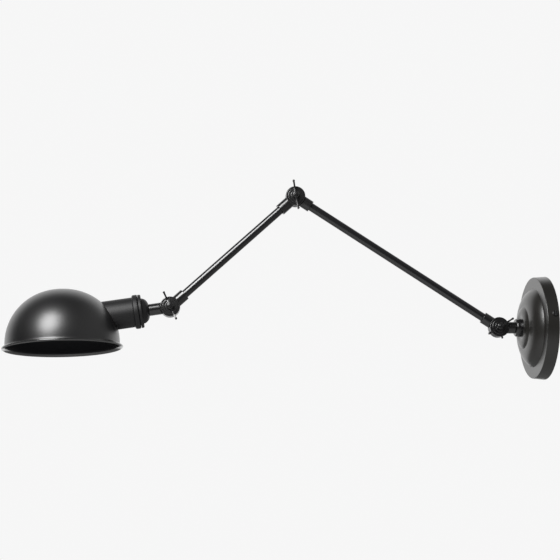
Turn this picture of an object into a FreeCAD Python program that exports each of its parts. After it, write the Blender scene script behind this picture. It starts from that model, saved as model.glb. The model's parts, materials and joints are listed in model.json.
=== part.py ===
"""Articulating wall lamp: round canopy, two-piece swing arm, side-mounted dome shade.

Frame: the origin is the centre of the canopy's back on the wall, the wall is the
plane X = 0 with +X into it, +Z is up, and every arm joint turns about Y.
Millimetres throughout.
"""
import math
import os

import FreeCAD
import Part

V = FreeCAD.Vector
X, Y, Z = V(1, 0, 0), V(0, 1, 0), V(0, 0, 1)
ORIGIN = V(0, 0, 0)

# ---------------------------------------------------------------- driving dimensions
# clearances
fixed_gap = 0.05            # radial, between a piece and the hole that holds it
pin_gap = 0.06              # radial, running fit of pins and spigots
face_gap = 0.3              # axial, between faces that turn past each other
thread_gap = 0.05           # radial, between mating threads drawn as cylinders

# pose in which the lamp is built
wall_pivot_reach = 60.4     # wall to the first pivot
lower_arm_length = 317.0    # pivot to pivot
lower_arm_angle = 147.4     # from +X towards +Z, seen from the front
upper_arm_length = 220.7
upper_arm_angle = 223.0
holder_angle = 189.2        # lamp holder's axis
shade_tilt = 2.7            # opening's plane, wall side higher

# canopy
canopy_radius = 67.5
canopy_rim_depth = 15.1
canopy_lean_width = 1.3     # the rim's foot stands out from its top
canopy_edge_round = 0.9
canopy_wall = 1.2
bulge_foot_radius = 51.4
bulge_height = 12.9
bulge_sagitta = 3.6
crest_radius = 26.7
crest_height = 3.2
crest_sagitta = 1.1
seat_radius = 12.4

# backplate
plate_thickness = 1.5
plate_gap = 0.6             # between its flange and the canopy's rim
plate_flange_height = 10.5
plate_corner_round = 1.2
slot_spacing = 80.0
slot_length = 16.0
slot_width = 4.6
side_screw_radius = 2.0
side_screw_depth = 5.5      # from the wall
side_screw_angle = 7.0      # above the horizontal
side_screw_length = 6.5
side_head_radius = 3.4
side_head_height = 1.8
screw_slot_width = 1.0
screw_slot_depth = 0.9
cable_hole_height = 27.0
cable_hole_radius = 10.0
cable_radius = 4.6
grommet_lip = 1.6
grommet_overhang = 1.8
grommet_round = 0.7
grommet_taper_height = 1.5

# terminal block on the backplate
block_height = -31.0
block_width = 28.0
block_depth = 15.0
block_thickness = 13.0
pole_spacing = 8.5
clamp_radius = 2.6
clamp_bore = 1.6
clamp_recess = 1.0           # of the clamps and their screws in the block
clamp_screw_radius = 1.5
earth_screw_radius = 2.0
earth_screw_offset = 24.0
earth_head_radius = 3.4
earth_head_height = 2.2
earth_head_round = 0.9
tag_thickness = 0.8
tag_radius = 4.2
tag_strip_width = 3.0
tag_strip_gap = 2.0          # from the terminal block's side

# swivel between canopy and arm
boss_radius = 11.7
boss_length = 7.8
boss_round = 2.4
shank_radius = 8.0
shank_length = 8.0
stiffener_thickness = 1.5
nut_wall = 3.4              # from a thread to the flats of its hexagon nut
base_nut_thickness = 4.5
spigot_nut_thickness = 4.5
spring_washer_thickness = 1.0
spigot_overhang = 1.0
bush_wall = 0.5
bush_length = 3.0
bush_lip = 1.0
bush_round = 0.4

# arm tubes and their knuckles
tube_radius = 5.0           # at its threads, also of the spigot and the nipple
arm_radius = 5.45           # between the necks
tube_wall = 1.0             # at the threads
neck_radius = 7.65
thread_depth = 11.0
mouth_gap = 0.4             # between a tube's end and the bottom of its thread
lower_neck_length = 24.3
upper_neck_length_elbow = 27.4
upper_neck_length_shade = 25.0
disc_radius = 12.9
disc_thickness = 6.0
disc_round = 0.9
disc_groove = 0.6           # around the disc, under the other arm's neck
half_gap = 1.0              # between the two halves of a joint
cavity_radius = 9.3
cavity_depth = 4.0
hub_radius = 4.1
friction_ring_wall = 2.6
friction_ring_setback = 0.4 # from the discs' edge
stop_pin_radius = 1.2
stop_pin_reach = 15.5
stop_pin_angle = -75.7
stop_pin_height = 3.4       # from the joint's middle plane
stop_pin_round = 0.7

# joint hardware
bolt_radius = 2.5
bolt_head_radius = 5.6
bolt_head_height = 3.0
bolt_head_round = 2.2
bolt_tip_length = 1.1       # beyond the wing nut
bolt_tip_round = 0.9
cover_radius = 10.2
cover_thickness = 1.0
cover_round = 0.5
nut_flange_radius = 6.8
nut_flange_height = 1.1
nut_flange_round = 0.5
nut_hub_radius = 4.3
nut_hub_round = 0.9
nut_height = 6.0
wing_reach = 18.5
wing_thickness = 1.7
wing_rise_height = 5.2
wing_tip_radius = 1.5
wing_tip_round = 0.9
wing_corner_round = 1.2
wing_waist_round = 4.0
wing_root_height = 0.6      # below the top of the nut's hub
wing_tip_overlap = 0.35     # of the round tip past the wing's edges
wall_wing_angle = 32.2
elbow_wing_angle = 99.8
shade_wing_angle = 115.8

# lamp holder, measured along its axis from the shade pivot
holder_neck_length = 27.2
nipple_length = 27.0
cap_height = 9.4
cap_radius = 16.2
cap_sagitta = 2.0
cap_wall = 1.2
cap_floor = 3.6             # thickness under the lock nut
lock_nut_gap = 0.4          # around the nut's corners
ridge_radius = 21.2
ridge_width = 2.8
ridge_chamfer = 0.8
bead_radius = 21.9
bead_width = 7.2
bead_gap = 0.5
bead_back_round = 1.6
bead_front_round = 2.4
sleeve_radius = 19.2
sleeve_wall = 1.0
sleeve_length = 48.5        # before the dome cuts it off
skirt_length = 4.3          # of the cap inside the sleeve
lock_nut_thickness = 3.0
body_gap = 0.2              # radial, between the lamp holder and the cap's skirt
body_wall = 1.8
body_floor = 3.0
body_round = 1.0
body_setback = 4.5          # from the cap's ridge
body_length = 41.0
core_gap = 4.0              # between the body's floor and the core
core_thickness = 8.1
lamp_thread_radius = 13.35
lamp_thread_length = 22.0
thread_shell_wall = 0.6
thread_well_step = 0.7      # the shell is narrower below its thread
contact_hole_radius = 8.0   # in the shell's bottom
contact_thickness = 0.5
contact_width = 6.0
contact_height = 3.0
contact_gap = 0.4           # between the sprung contact and the thread's start
terminal_width = 5.0
terminal_offset = 6.5       # from the holder's axis
terminal_bore = 1.4

# shade
shade_radius = 71.9
shade_height = 76.0
shade_wall = 1.0
crown_radius = 99.0
shoulder_radius = 68.1
flare_radius = 5.6
flare_angle = 60.0
flare_top_height = 5.3
bead_roll_radius = 1.25
shade_reach = 141.47        # rim centre from the shade pivot, along the lamp holder
shade_drop_height = 33.71   # and square to it, downwards
weld_gap = 0.05

# wires
wire_radius = 1.0
wire_spread = 1.25          # either side of the joint's middle line
wire_offset = 2.1           # from the arm's axis towards its own half
wire_gap = 0.3              # between a wire's end and what it leads to
wire_hub_gap = 0.6          # between a wire's end and the joint's hub
wire_turn_reach = 9.0       # of the turn into the spigot
wire_bend_reach = 2.4       # of the bend above the terminals
wire_rise_height = 4.0      # of that bend above the wire's end
wire_end_depth = 0.8        # of the wire's end in the block


# ---------------------------------------------------------------- outlines and solids
def corner_arc(before, corner, after, radius):
    """Tangent arc that rounds one corner of a polygon."""
    back = (before - corner).normalize()
    ahead = (after - corner).normalize()
    half = back.getAngle(ahead) / 2
    reach = radius / math.tan(half)
    bisector = (back + ahead).normalize()
    middle = corner + bisector * (radius / math.sin(half) - radius)
    return corner + back * reach, middle, corner + ahead * reach


def closed_wire(points):
    """Closed wire through (vector, corner radius) pairs."""
    count = len(points)
    edges = []
    ends = []
    for i, (corner, radius) in enumerate(points):
        if radius:
            start, middle, end = corner_arc(points[i - 1][0], corner, points[(i + 1) % count][0], radius)
            edges.append(Part.Arc(start, middle, end).toShape())
            ends.append((start, end))
        else:
            ends.append((corner, corner))
    for i in range(count):
        start, end = ends[i][1], ends[(i + 1) % count][0]
        if start.distanceToPoint(end) > 1e-6:
            edges.append(Part.makeLine(start, end))
    return Part.Wire(Part.__sortEdges__(edges))


def solid_of(shape):
    """The single solid of a shape, facing outwards."""
    solid = shape.Solids[0]
    if solid.Volume < 0:
        solid.reverse()
    return solid


def turned(points, axis=X):
    """Solid turned about an axis from (along, radius[, corner radius]) points."""
    side = Z if axis is X or axis is Y else X
    corners = [(axis * p[0] + side * p[1], p[2] if len(p) > 2 else 0) for p in points]
    return solid_of(Part.Face(closed_wire(corners)).revolve(ORIGIN, axis, 360))


def turned_edges(edges, axis):
    """Solid turned about an axis from the edges of a closed outline."""
    return solid_of(Part.Face(Part.Wire(edges)).revolve(ORIGIN, axis, 360))


def rod(radius, start, end):
    """Solid cylinder between two points."""
    return Part.makeCylinder(radius, start.distanceToPoint(end), start, end - start)


def pipe(outer, inner, start, end):
    """Hollow cylinder between two points."""
    return rod(outer, start, end).cut(rod(inner, start, end))


def block(low, high):
    """Box between two corners."""
    size = high - low
    return Part.makeBox(size.x, size.y, size.z, low)


def nut_corner(bore):
    """Radius to the corners of the hexagon nut for a thread."""
    return (bore + nut_wall) / math.cos(math.radians(30))


def hexagon_nut(bore, thickness, start):
    """Hexagon nut on the X axis, from start in the +X direction."""
    corner = nut_corner(bore)
    points = [V(start, corner * math.cos(a), corner * math.sin(a))
              for a in (math.radians(60 * i) for i in range(6))]
    prism = Part.Face(Part.makePolygon(points + points[:1])).extrude(X * thickness)
    return prism.cut(rod(bore + thread_gap, V(start, 0, 0), V(start + thickness, 0, 0)))


def arc_points(start, end, sagitta):
    """Start, middle and end of an arc in the XZ plane that bulges to its left."""
    chord = end - start
    normal = V(-chord.z, 0, chord.x).normalize()
    return start, (start + end) * 0.5 + normal * sagitta, end


def placed(shape, origin, angle):
    """Copy with local +X turned to angle in the XZ plane, then moved to origin."""
    copy = shape.copy()
    copy.rotate(ORIGIN, Y, -angle)
    copy.translate(origin)
    return copy


def polar(origin, length, angle):
    """Point in the XZ plane at a length and angle from origin."""
    a = math.radians(angle)
    return origin + V(length * math.cos(a), 0, length * math.sin(a))


wall_pivot = V(-wall_pivot_reach, 0, 0)
elbow_pivot = polar(wall_pivot, lower_arm_length, lower_arm_angle)
shade_pivot = polar(elbow_pivot, upper_arm_length, upper_arm_angle)
rim_centre = polar(polar(shade_pivot, shade_reach, holder_angle), shade_drop_height, holder_angle + 90)

REAR, FRONT = 1, -1         # the side of the arm's middle plane that a half lies on
face_plane = half_gap / 2   # mating face of a half, from the middle plane
back_plane = face_plane + disc_thickness

pieces = {}


# ---------------------------------------------------------------- canopy
def canopy_outline():
    """Open outline of the canopy's outside, wall to seat, in the XZ plane."""
    rim_foot = V(0, 0, canopy_radius)
    rim_top = V(-canopy_rim_depth, 0, canopy_radius - canopy_lean_width)
    foot = V(-canopy_rim_depth, 0, bulge_foot_radius)
    crease = V(-canopy_rim_depth - bulge_height, 0, crest_radius)
    seat_edge = V(crease.x - crest_height, 0, seat_radius)
    seat_middle = V(seat_edge.x, 0, 0)
    start, middle, end = corner_arc(rim_foot, rim_top, foot, canopy_edge_round)
    return [
        Part.makeLine(rim_foot, start),
        Part.Arc(start, middle, end).toShape(),
        Part.makeLine(end, foot),
        Part.Arc(*arc_points(foot, crease, -bulge_sagitta)).toShape(),
        Part.Arc(*arc_points(crease, seat_edge, -crest_sagitta)).toShape(),
        Part.makeLine(seat_edge, seat_middle),
    ]


seat_x = -(canopy_rim_depth + bulge_height + crest_height)
seat_inside = seat_x + canopy_wall


def canopy_inside():
    """Solid of the space inside the canopy."""
    open_wire = Part.Wire(canopy_outline())
    inner = open_wire.makeOffset2D(canopy_wall, 2, False, True, True)
    edges = list(inner.Edges)
    ends = [v.Point for v in inner.Vertexes]
    foot = max(ends, key=lambda p: p.z)
    top = min(ends, key=lambda p: p.z)
    edges.append(Part.makeLine(foot, V(foot.x, 0, 0)))
    edges.append(Part.makeLine(V(foot.x, 0, 0), V(top.x, 0, 0)))
    if top.z > 1e-6:
        edges.append(Part.makeLine(V(top.x, 0, 0), top))
    return turned_edges(Part.__sortEdges__(edges), X)


def side_screw_direction(index):
    """Outward direction of a side screw: one towards the room's front, one opposite."""
    angle = math.radians(side_screw_angle + 180 * index)
    return V(0, -math.cos(angle), math.sin(angle))


def rim_radius_at(depth):
    """Canopy's outer radius at a distance from the wall."""
    return canopy_radius - canopy_lean_width * depth / canopy_rim_depth


def make_canopy():
    outline = canopy_outline()
    base = [Part.makeLine(V(seat_x, 0, 0), ORIGIN), Part.makeLine(ORIGIN, V(0, 0, canopy_radius))]
    shell = turned_edges(outline + base, X).cut(canopy_inside())
    shell = shell.cut(rod(shank_radius + fixed_gap, V(seat_x - 1, 0, 0), V(seat_inside + 1, 0, 0)))
    for i in range(2):
        out = side_screw_direction(i)
        start = V(-side_screw_depth, 0, 0) + out * (canopy_radius - 3 * canopy_wall)
        shell = shell.cut(rod(side_screw_radius + fixed_gap, start, start + out * 5 * canopy_wall))
    pieces["canopy_shell"] = shell


def make_backplate():
    radius = rim_radius_at(plate_flange_height) - canopy_wall - plate_gap
    inner = radius - plate_thickness
    plate = turned([(0, 0), (0, radius, plate_corner_round), (-plate_flange_height, radius),
                    (-plate_flange_height, inner), (-plate_thickness, inner), (-plate_thickness, 0)])
    for side in (-1, 1):
        middle = side * slot_spacing / 2
        half = (slot_length - slot_width) / 2
        for end in (-half, half):
            plate = plate.cut(rod(slot_width / 2, V(-2 * plate_thickness, middle + end, 0),
                                  V(1, middle + end, 0)))
        plate = plate.cut(block(V(-2 * plate_thickness, middle - half, -slot_width / 2),
                                V(1, middle + half, slot_width / 2)))
    plate = plate.cut(rod(cable_hole_radius, V(-2 * plate_thickness, 0, cable_hole_height),
                          V(1, 0, cable_hole_height)))
    for i in range(2):
        out = side_screw_direction(i)
        start = V(-side_screw_depth, 0, 0) + out * (inner - 1)
        plate = plate.cut(rod(side_screw_radius + thread_gap, start, start + out * (plate_thickness + 2)))
    earth = V(0, earth_screw_offset, block_height)
    plate = plate.cut(rod(earth_screw_radius + thread_gap, earth + X, earth - X * 2 * plate_thickness))
    pieces["backplate"] = plate

    screws = []
    for i in range(2):
        out = side_screw_direction(i)
        under_head = rim_radius_at(side_screw_depth - side_head_radius) + fixed_gap
        seat = V(-side_screw_depth, 0, 0) + out * under_head
        head = rod(side_head_radius, seat, seat + out * side_head_height)
        half = screw_slot_width / 2
        slot = block(V(-side_head_radius, -half, 0), V(side_head_radius, half, side_head_height))
        turn = FreeCAD.Rotation(Z, out)
        slot.Placement = FreeCAD.Placement(seat + out * (side_head_height - screw_slot_depth), turn)
        shank = rod(side_screw_radius, seat - out * side_screw_length, seat)
        screws.append(head.fuse(shank).removeSplitter().cut(slot).Solids[0])
    pieces["canopy_side_screws"] = Part.makeCompound(screws)


def make_grommet():
    groove = cable_hole_radius - fixed_gap
    lip = groove + grommet_overhang
    front = -plate_thickness - fixed_gap
    ring = turned([(0, cable_radius), (0, groove), (front, groove), (front, lip),
                   (front - grommet_lip, lip, grommet_round),
                   (front - grommet_lip - grommet_taper_height, cable_radius)])
    ring.translate(V(0, 0, cable_hole_height))
    pieces["cable_grommet"] = ring


def make_terminal_block():
    back = -plate_thickness - fixed_gap
    front = back - block_thickness
    body = block(V(front, -block_width / 2, block_height - block_depth / 2),
                 V(back, block_width / 2, block_height + block_depth / 2))
    clamps = []
    screws = []
    clamp_x = back - block_thickness / 2
    for i in (-1, 0, 1):
        y = i * pole_spacing
        low = V(clamp_x, y, block_height - block_depth / 2)
        high = V(clamp_x, y, block_height + block_depth / 2)
        body = body.cut(rod(clamp_radius + fixed_gap, low, high))
        body = body.cut(rod(clamp_screw_radius + 2 * fixed_gap, V(clamp_x, y, block_height),
                            V(front, y, block_height)))
        clamp = pipe(clamp_radius, clamp_bore, low + Z * clamp_recess, high - Z * clamp_recess)
        clamps.append(clamp.cut(rod(clamp_screw_radius + thread_gap, V(clamp_x, y, block_height),
                                    V(front, y, block_height))))
        screws.append(rod(clamp_screw_radius, V(clamp_x - clamp_bore * 0.9, y, block_height),
                          V(front + clamp_recess, y, block_height)))
    pieces["terminal_block"] = body
    pieces["terminal_clamps"] = Part.makeCompound([c.Solids[0] for c in clamps])
    pieces["terminal_screws"] = Part.makeCompound(screws)

    earth = V(-plate_thickness, earth_screw_offset, block_height)
    tag = rod(tag_radius, earth, earth - X * tag_thickness)
    strip_end = earth - Y * (earth_screw_offset - block_width / 2 - tag_strip_gap)
    half = tag_strip_width / 2
    tag = tag.fuse(block(V(earth.x - tag_thickness, strip_end.y, block_height - half),
                         V(earth.x, earth.y, block_height + half))).removeSplitter()
    tag = tag.cut(rod(earth_screw_radius + fixed_gap, earth + X, earth - X * 2))
    pieces["earth_tag"] = tag.Solids[0]
    seat = earth - X * tag_thickness
    head = turned([(0, 0), (0, earth_head_radius), (-earth_head_height, earth_head_radius, earth_head_round),
                   (-earth_head_height, 0)])
    head.translate(seat)
    pieces["earth_screw"] = head.fuse(rod(earth_screw_radius, seat, V(0, seat.y, seat.z))).removeSplitter()


def make_swivel():
    """Boss on the canopy: its hollow shank clamps the shell, and the arm's spigot turns in it."""
    boss_front = seat_x - boss_length
    shank_end = seat_x + shank_length
    bore = tube_radius + pin_gap
    base = turned([(seat_x, bore), (seat_x, boss_radius), (boss_front, boss_radius, boss_round),
                   (boss_front, bore)])
    base = base.fuse(pipe(shank_radius, bore, V(seat_x, 0, 0), V(shank_end, 0, 0))).removeSplitter()
    pieces["swivel_base"] = base
    stiffener_end = seat_inside + stiffener_thickness
    pieces["canopy_stiffener"] = pipe(boss_radius, shank_radius + fixed_gap,
                                      V(seat_inside, 0, 0), V(stiffener_end, 0, 0))
    pieces["swivel_base_nut"] = hexagon_nut(shank_radius, base_nut_thickness, stiffener_end)

    washer = shank_end + face_gap
    nut = washer + spring_washer_thickness
    pieces["spigot_washer"] = pipe(shank_radius, tube_radius + fixed_gap,
                                   V(washer, 0, 0), V(nut, 0, 0))
    pieces["spigot_nut"] = hexagon_nut(tube_radius, spigot_nut_thickness, nut)
    spigot_end = nut + spigot_nut_thickness + spigot_overhang
    wire_bore = tube_radius - tube_wall
    bush = turned([(spigot_end - bush_length, wire_bore - fixed_gap),
                   (spigot_end, wire_bore - fixed_gap), (spigot_end, tube_radius),
                   (spigot_end + bush_lip, tube_radius, bush_round),
                   (spigot_end + bush_lip, wire_bore - bush_wall),
                   (spigot_end - bush_length, wire_bore - bush_wall)])
    pieces["spigot_bush"] = bush
    return boss_front, spigot_end


# ---------------------------------------------------------------- knuckles and joints
def knuckle(side, neck_length, threaded=True):
    """Half of a friction joint with its neck along +X and the joint's axis on Y."""
    neck = rod(neck_radius, ORIGIN, V(neck_length, 0, 0))
    far = V(0, -side * 2 * disc_radius, 0)
    near = V(0, side * face_plane, 0)
    neck = neck.cut(rod(disc_radius + disc_groove, far, near))
    neck = neck.cut(rod(disc_radius, near, near - far))
    disc = turned([(side * face_plane, hub_radius - 1), (side * face_plane, disc_radius),
                   (side * back_plane, disc_radius, disc_round), (side * back_plane, hub_radius - 1)], Y)
    body = neck.fuse(disc).removeSplitter()
    cavity = turned([(side * face_plane * 0.5, hub_radius), (side * face_plane * 0.5, cavity_radius),
                     (side * (face_plane + cavity_depth), cavity_radius),
                     (side * (face_plane + cavity_depth), hub_radius)], Y)
    body = body.cut(cavity)
    wire_bore = tube_radius - tube_wall
    channel = rod(wire_bore, V(cavity_radius - 1, 0, 0), V(neck_length, 0, 0))
    body = body.cut(channel)
    if threaded:
        body = body.cut(rod(tube_radius + thread_gap, V(neck_length - thread_depth, 0, 0),
                            V(neck_length, 0, 0)))
    hub = pipe(hub_radius, bolt_radius + pin_gap, near, V(0, side * back_plane, 0))
    return solid_of(body.fuse(hub).removeSplitter())


def wires(start, end, side):
    """Two straight wires between two distances along +X."""
    return Part.makeCompound([rod(wire_radius, V(start, side * wire_offset, s * wire_spread),
                                  V(end, side * wire_offset, s * wire_spread)) for s in (-1, 1)])


wire_start = hub_radius + wire_radius + wire_hub_gap


def joint_hardware(name, pivot, wing_angle):
    """Bolt, friction ring, cover washer and wing nut of one joint, on the Y axis."""
    front = -back_plane
    cover_top = front - cover_thickness
    nut_seat = cover_top - face_gap
    nut_top = nut_seat - nut_height
    ring_radius = disc_radius - friction_ring_setback
    ring = pipe(ring_radius, ring_radius - friction_ring_wall, Y * face_plane, Y * (face_gap - face_plane))
    cover = turned([(front, bolt_radius + pin_gap), (front, cover_radius),
                    (cover_top, cover_radius, cover_round), (cover_top, bolt_radius + pin_gap)], Y)
    head = turned([(back_plane, 0), (back_plane, bolt_head_radius),
                   (back_plane + bolt_head_height, bolt_head_radius, bolt_head_round),
                   (back_plane + bolt_head_height, 0)], Y)
    shank = turned([(back_plane, 0), (back_plane, bolt_radius),
                    (nut_top - bolt_tip_length, bolt_radius, bolt_tip_round),
                    (nut_top - bolt_tip_length, 0)], Y)
    pieces[name + "_bolt"] = placed(solid_of(head.fuse(shank).removeSplitter()), pivot, 0)
    pieces[name + "_friction_ring"] = placed(ring, pivot, 0)
    pieces[name + "_cover_washer"] = placed(cover, pivot, 0)

    flange_top = nut_seat - nut_flange_height
    hub = turned([(nut_seat, 0), (nut_seat, nut_flange_radius),
                  (flange_top, nut_flange_radius, nut_flange_round), (flange_top, nut_hub_radius),
                  (nut_top, nut_hub_radius, nut_hub_round), (nut_top, 0)], Y)
    tip_foot = flange_top - wing_rise_height / 3
    tip_top = flange_top - wing_rise_height
    waist = V(nut_hub_radius + wing_reach / 3, (tip_foot + tip_top) / 2, 0)
    root = nut_top + wing_root_height
    outline = [(V(0, flange_top, 0), 0), (V(nut_hub_radius, flange_top, 0), 0),
               (V(wing_reach, tip_foot, 0), 0), (V(wing_reach, tip_top, 0), wing_corner_round),
               (waist, wing_waist_round),
               (V(nut_hub_radius, root, 0), 0), (V(0, root, 0), 0)]
    wing = Part.Face(closed_wire(outline)).extrude(Z * wing_thickness)
    wing.translate(V(0, 0, -wing_thickness / 2))
    tip_ends = tip_foot + wing_tip_overlap, tip_top - wing_tip_overlap
    tip = turned([(tip_ends[0], 0), (tip_ends[0], wing_tip_radius, wing_tip_round),
                  (tip_ends[1], wing_tip_radius, wing_tip_round), (tip_ends[1], 0)], Y)
    tip.translate(V(wing_reach, 0, 0))
    nut = hub
    for piece in (wing, tip):
        other = piece.copy()
        other.rotate(ORIGIN, Y, 180)
        nut = nut.fuse([piece, other])
    nut = nut.removeSplitter().cut(rod(bolt_radius + pin_gap, V(0, nut_seat + 1, 0), V(0, nut_top - 1, 0)))
    pieces[name + "_wing_nut"] = placed(solid_of(nut), pivot, wing_angle)


def make_wall_knuckle(boss_front, spigot_end):
    """Front half at the wall, with the hollow spigot that turns in the canopy's boss."""
    shoulder = boss_front - face_gap + wall_pivot_reach
    end = spigot_end + wall_pivot_reach
    wire_bore = tube_radius - tube_wall
    body = knuckle(FRONT, shoulder, threaded=False)
    spigot = pipe(tube_radius, wire_bore, V(shoulder, 0, 0), V(end, 0, 0))
    body = body.fuse(spigot).removeSplitter()
    a = math.radians(stop_pin_angle)
    out = V(math.cos(a), 0, math.sin(a))
    plane = V(0, -stop_pin_height, 0)
    body = body.cut(rod(stop_pin_radius + fixed_gap, plane + out * (cavity_radius - 1),
                        plane + out * (disc_radius + 1)))
    pieces["wall_knuckle"] = placed(solid_of(body), wall_pivot, 0)
    pin_start = cavity_radius + face_gap
    pin = turned([(pin_start, 0), (pin_start, stop_pin_radius),
                  (stop_pin_reach, stop_pin_radius, stop_pin_round), (stop_pin_reach, 0)])
    pin.translate(plane)
    pieces["stop_pin"] = placed(pin, wall_pivot, stop_pin_angle)
    pieces["wall_neck_wires"] = placed(wires(wire_start, end + bush_lip, FRONT), wall_pivot, 0)


def make_arm(name, side, start, angle, length, start_neck, end_neck, joints):
    """Tube with a knuckle at both ends and its wires."""
    end = polar(start, length, angle)
    inset = mouth_gap - thread_depth
    mouths = V(start_neck + inset, 0, 0), V(length - end_neck - inset, 0, 0)
    tube = rod(arm_radius, V(start_neck, 0, 0), V(length - end_neck, 0, 0)).fuse(rod(tube_radius, *mouths))
    tube = tube.cut(rod(tube_radius - tube_wall, *mouths))
    pieces[name + "_tube"] = placed(solid_of(tube), start, angle)
    pieces[name + "_" + joints[0] + "_knuckle"] = placed(knuckle(side, start_neck), start, angle)
    pieces[name + "_" + joints[1] + "_knuckle"] = placed(knuckle(side, end_neck), end, angle + 180)
    pieces[name + "_wires"] = placed(wires(wire_start, length - wire_start, side), start, angle)


# ---------------------------------------------------------------- lamp holder
cap_start = holder_neck_length
cap_end = cap_start + cap_height
ridge_end = cap_end + ridge_width
bead_end = ridge_end + bead_gap + bead_width
sleeve_start = ridge_end + bead_gap
skirt_radius = sleeve_radius - sleeve_wall - 2 * fixed_gap
body_radius = skirt_radius - cap_wall - body_gap
body_start = cap_end + body_setback
body_end = body_start + body_length
core_start = body_start + body_floor + core_gap
core_end = core_start + core_thickness
lamp_thread_start = core_end + contact_height + contact_gap
lamp_thread_end = lamp_thread_start + lamp_thread_length


def make_holder_cap():
    """Domed cap with its ridge, clamped on the hollow nipple by the neck and a nut."""
    bore = tube_radius + thread_gap
    foot, middle, end = arc_points(V(cap_start, 0, neck_radius), V(cap_end, 0, cap_radius), cap_sagitta)
    skirt = skirt_radius
    floor = cap_start + cap_floor
    floor_radius = nut_corner(tube_radius) + lock_nut_gap
    skirt_end = sleeve_start + skirt_length
    outline = [
        Part.makeLine(V(cap_start, 0, bore), foot),
        Part.Arc(foot, middle, end).toShape(),
        Part.makeLine(end, V(cap_end, 0, ridge_radius - ridge_chamfer)),
        Part.makeLine(V(cap_end, 0, ridge_radius - ridge_chamfer),
                      V(cap_end + ridge_chamfer, 0, ridge_radius)),
        Part.makeLine(V(cap_end + ridge_chamfer, 0, ridge_radius), V(ridge_end, 0, ridge_radius)),
        Part.makeLine(V(ridge_end, 0, ridge_radius), V(ridge_end, 0, skirt)),
        Part.makeLine(V(ridge_end, 0, skirt), V(skirt_end, 0, skirt)),
        Part.makeLine(V(skirt_end, 0, skirt), V(skirt_end, 0, skirt - cap_wall)),
        Part.makeLine(V(skirt_end, 0, skirt - cap_wall), V(cap_end + cap_wall, 0, skirt - cap_wall)),
        Part.makeLine(V(cap_end + cap_wall, 0, skirt - cap_wall), V(floor, 0, floor_radius)),
        Part.makeLine(V(floor, 0, floor_radius), V(floor, 0, bore)),
        Part.makeLine(V(floor, 0, bore), V(cap_start, 0, bore)),
    ]
    return turned_edges(outline, X)


def dome_outline(inset):
    """Half outline of the dome from the crown to the flare, moved inwards by inset."""
    crown = V(0, 0, shade_height - crown_radius)
    offset = crown_radius - shoulder_radius
    across = shade_radius - shoulder_radius
    shoulder = V(across, 0, crown.z + math.sqrt(offset ** 2 - across ** 2))
    meet = math.atan2(shoulder.z - crown.z, across)
    top, side, flare = crown_radius - inset, shoulder_radius - inset, flare_radius + inset

    def on(centre, radius, angle):
        return centre + V(radius * math.cos(angle), 0, radius * math.sin(angle))

    flare_centre = V(shade_radius + flare_radius, 0, flare_top_height)
    skirt_top = on(shoulder, side, 0)
    turn = math.radians(flare_angle)
    return [
        Part.Arc(on(crown, top, math.pi / 2), on(crown, top, (meet + math.pi / 2) / 2),
                 on(crown, top, meet)).toShape(),
        Part.Arc(on(shoulder, side, meet), on(shoulder, side, meet / 2), skirt_top).toShape(),
        Part.makeLine(skirt_top, on(flare_centre, flare, math.pi)),
        Part.Arc(on(flare_centre, flare, math.pi), on(flare_centre, flare, math.pi + turn / 2),
                 on(flare_centre, flare, math.pi + turn)).toShape(),
    ]


def closed_dome(inset, foot):
    """Solid dome inside one outline, closed at a height below its flare."""
    edges = dome_outline(inset)
    top = edges[0].Vertexes[0].Point
    end = edges[-1].Vertexes[-1].Point
    edges += [Part.makeLine(end, V(end.x, 0, foot)), Part.makeLine(V(end.x, 0, foot), V(0, 0, foot)),
              Part.makeLine(V(0, 0, foot), top)]
    return turned_edges(Part.__sortEdges__(edges), Z)


def in_shade_place(shape):
    copy = shape.copy()
    copy.rotate(ORIGIN, Y, -shade_tilt)
    copy.translate(rim_centre)
    return copy


def make_shade():
    outer = dome_outline(0)
    inner = dome_outline(shade_wall)
    rim = Part.makeLine(outer[-1].Vertexes[-1].Point, inner[-1].Vertexes[-1].Point)
    crown = Part.makeLine(inner[0].Vertexes[0].Point, outer[0].Vertexes[0].Point)
    shell = turned_edges(Part.__sortEdges__(outer + inner + [rim, crown]), Z)
    flare_end = outer[-1].Vertexes[-1].Point
    roll = Part.makeTorus(flare_end.x, bead_roll_radius, V(0, 0, bead_roll_radius))
    shell = solid_of(in_shade_place(shell.fuse(roll).removeSplitter()))
    entry = rod(sleeve_radius - sleeve_wall, V(sleeve_start, 0, 0), V(sleeve_start + sleeve_length, 0, 0))
    pieces["dome_shade"] = solid_of(shell.cut(placed(entry, shade_pivot, holder_angle)))


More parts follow.
